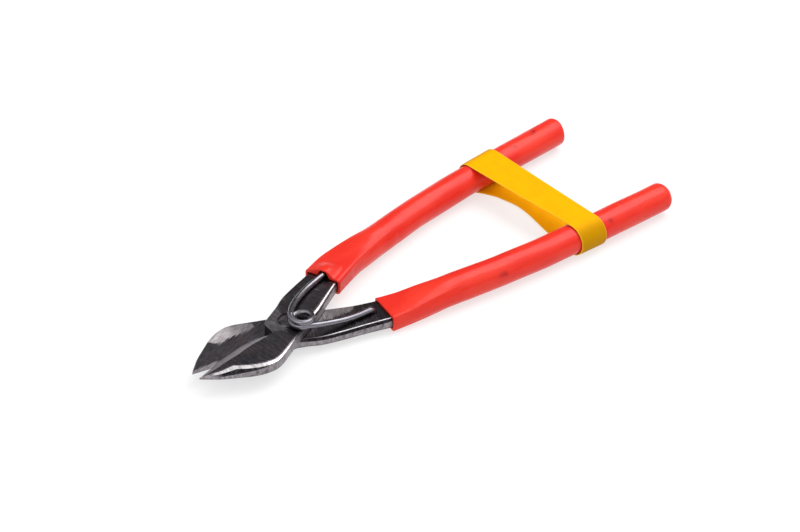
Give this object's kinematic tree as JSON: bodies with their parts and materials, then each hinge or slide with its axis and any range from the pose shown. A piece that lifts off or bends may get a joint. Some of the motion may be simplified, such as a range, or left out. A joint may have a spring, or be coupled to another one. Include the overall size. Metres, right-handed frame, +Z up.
{
  "type": "tinner's snips",
  "caption": "Hand snips for thin sheet metal: two crossed forged levers on a rivet, with a return spring, vinyl-sleeved handles and a flat rubber band holding them closed.",
  "frame": {"origin": "the pivot axis where it meets the surface that the snips lie on, which is the flat lower head of the pivot rivet", "axes": "+X from the blade tips to the handle ends, +Y towards the upper lever's handle, +Z up along the pivot"},
  "size_m": [0.2549, 0.0882, 0.0192],
  "materials": {
    "forged_steel": "dark forged steel with coarse grinding marks, bright along the ground edges",
    "rivet_steel": "dark hammered steel",
    "spring_wire": "smooth drawn spring wire, glossy",
    "red_vinyl": "soft dipped vinyl, satin to glossy",
    "yellow_rubber": "flat stretched rubber band, smooth and matte"
  },
  "bodies": {
    "upper_lever": {"upper_blade_lever": "forged_steel", "upper_grip_sleeve": "red_vinyl", "pivot_rivet": "rivet_steel", "torsion_spring": "spring_wire", "retaining_band": "yellow_rubber"},
    "lower_lever": {"lower_blade_lever": "forged_steel", "lower_grip_sleeve": "red_vinyl"}
  },
  "joints": [
    {"name": "jaw_pivot", "type": "hinge", "parent": "upper_lever", "child": "lower_lever", "pos_m": [0, 0, 0.0082], "axis": [0, 0, -1], "range_deg": [-6, 20], "stiffness_Nm_per_rad": 6, "deforming": ["torsion_spring", "retaining_band"]}
  ]
}
